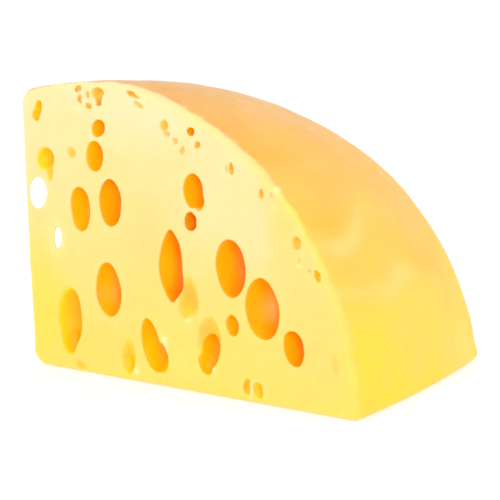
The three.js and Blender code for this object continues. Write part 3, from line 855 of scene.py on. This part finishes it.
def cheese_material():
    m, t, b = nodes_of("cheese")
    tc = node(t, "ShaderNodeTexCoord").outputs["Object"]
    tint = node(t, "ShaderNodeAttribute", attribute_name="tint").outputs["Color"]
    rind = node(t, "ShaderNodeAttribute", attribute_name="rind").outputs["Fac"]
    eye = node(t, "ShaderNodeAttribute", attribute_name="eye").outputs["Fac"]

    # colour: soft clouds, finer curd grain, and warmer blotches on the rind
    cloud = noise(t, tc, 38.0, 3.0, 0.55)
    grain = noise(t, tc, 420.0, 4.0, 0.6)
    blotch = noise(t, tc, 75.0, 4.0, 0.6)
    face = math_node(t, "SUBTRACT", 1.0, eye)
    w = math_node(t, "MULTIPLY", remap(t, cloud, 0.40, 0.70, 0.0, 0.16), face)
    c = mix_colour(t, w, tint, lin(250, 204, 96).tolist())
    w = math_node(t, "MULTIPLY", remap(t, grain, 0.40, 0.70, 0.0, 0.12), face)
    w = math_node(t, "MULTIPLY", w, remap(t, rind, 0.0, 1.0, 1.0, 0.35))
    c = mix_colour(t, w, c, lin(250, 228, 166).tolist())
    w = math_node(t, "MULTIPLY", remap(t, blotch, 0.50, 0.72, 0.0, 0.22), rind)
    c = mix_colour(t, w, c, lin(244, 176, 92).tolist())
    t.links.new(c, b.inputs["Base Color"])

    # gloss: the rind is smoother, the eyes are moist
    r = remap(t, noise(t, tc, 160.0, 3.0, 0.6), 0.3, 0.7, 0.40, 0.56)
    r = math_node(t, "SUBTRACT", r, math_node(t, "MULTIPLY", rind, 0.07))
    r = math_node(t, "SUBTRACT", r, math_node(t, "MULTIPLY", eye, 0.20))
    t.links.new(r, b.inputs["Roughness"])

    # relief: curd grain and knife marks on the cuts, pores on the rind
    fine = noise(t, tc, 900.0, 3.0, 0.6)
    mid = noise(t, tc, 260.0, 4.0, 0.55)
    wide = noise(t, tc, 90.0, 2.0, 0.5)
    h = math_node(t, "ADD", math_node(t, "MULTIPLY", fine, 0.00005), math_node(t, "MULTIPLY", mid, 0.00016))
    h = math_node(t, "ADD", h, math_node(t, "MULTIPLY", wide, 0.0003))
    h = math_node(t, "MULTIPLY", h, remap(t, eye, 0.0, 1.0, 1.0, 0.15))
    h = math_node(t, "MULTIPLY", h, remap(t, rind, 0.0, 1.0, 1.0, 0.45))
    bump = node(t, "ShaderNodeBump")
    bump.inputs["Strength"].default_value = 0.55
    bump.inputs["Distance"].default_value = 1.0
    t.links.new(h, bump.inputs["Height"])
    t.links.new(bump.outputs[0], b.inputs["Normal"])

    # painted light: the walls of the two eyes that go through the corner glow faintly, as if daylight came in
    thin_wall = node(t, "ShaderNodeAttribute", attribute_name="thin_wall").outputs["Fac"]
    t.links.new(math_node(t, "MULTIPLY", thin_wall, 0.08), b.inputs["Emission Strength"])
    b.inputs["Emission Color"].default_value = (1.0, 0.93, 0.66, 1)
    b.inputs["Subsurface Weight"].default_value = 0.30
    b.inputs["Subsurface Radius"].default_value = (1.0, 0.62, 0.22)
    b.inputs["Subsurface Scale"].default_value = 0.006
    b.inputs["IOR"].default_value = 1.42
    b.inputs["Specular IOR Level"].default_value = 0.25
    return m


def floor_material():
    m, t, b = nodes_of("floor")
    tc = node(t, "ShaderNodeTexCoord").outputs["Object"]
    c = mix_colour(t, remap(t, noise(t, tc, 3.0), 0.3, 0.7, 0.0, 1.0), (0.50, 0.50, 0.50), (0.52, 0.52, 0.52))
    t.links.new(c, b.inputs["Base Color"])
    b.inputs["Roughness"].default_value = 0.9
    b.inputs["Specular IOR Level"].default_value = 0.1
    # a translucent studio table, softly lit from below
    b.inputs["Emission Color"].default_value = (1, 1, 1, 1)
    b.inputs["Emission Strength"].default_value = 0.55
    return m


# ------------------------------------------------------------------ the piece
cheese = cheese_mesh()
cheese.data.materials.append(cheese_material())
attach(cheese, "root")
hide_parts("cheese_wedge")

# ------------------------------------------------------------------ the stage
bm = bmesh.new()
ring = [bm.verts.new((6 * math.cos(a), 6 * math.sin(a), 0)) for a in np.linspace(0, 2 * math.pi, 65)[:-1]]
bm.faces.new(ring)
fm = bpy.data.meshes.new("floor")
bm.to_mesh(fm)
bm.free()
floor = bpy.data.objects.new("floor", fm)
floor.location[2] = -0.0002
bpy.context.scene.collection.objects.link(floor)
fm.materials.append(floor_material())


def area(name, size, power, pos, aim, colour=(1, 1, 1)):
    d = bpy.data.lights.new(name, "AREA")
    d.shape = "RECTANGLE"
    d.size, d.size_y = size
    d.energy = power
    d.color = colour
    o = bpy.data.objects.new(name, d)
    o.location = pos
    v = np.array(aim, float) - np.array(pos, float)
    o.rotation_euler = (math.atan2(math.hypot(v[0], v[1]), -v[2]), 0, math.atan2(v[1], v[0]) - math.pi / 2)
    bpy.context.scene.collection.objects.link(o)
    return o


area("front", (0.9, 0.7), 4.0, (0.55, -1.05, 0.42), (0, 0, 0.05))
area("top", (1.4, 1.4), 0.8, (0.0, 0.15, 1.5), (0, 0, 0))
area("spark", (0.22, 0.30), 1.2, (-0.72, -0.85, 0.40), (0, 0, 0.05))

world = bpy.data.worlds.new("studio")
world.use_nodes = True
bg = world.node_tree.nodes["Background"]
bg.inputs[0].default_value = (1, 1, 1, 1)
bg.inputs[1].default_value = 1.03
bpy.context.scene.world = world

# ----------------------------------------------------------------- the camera
cam = bpy.data.cameras.new("view")
cam.sensor_width = 36.0
cam.lens = 72.0
cam.clip_start = 0.01
eye_ob = bpy.data.objects.new("view", cam)
eye_ob.location = (0.22378, -0.34470, 0.10029)
eye_ob.rotation_euler = (math.radians(90 - 7.391), 0, math.radians(33.413))
bpy.context.scene.collection.objects.link(eye_ob)
bpy.context.scene.camera = eye_ob
bpy.context.scene.view_settings.view_transform = "Standard"
bpy.context.scene.view_settings.look = "None"
bpy.context.scene.view_settings.exposure = 0.0
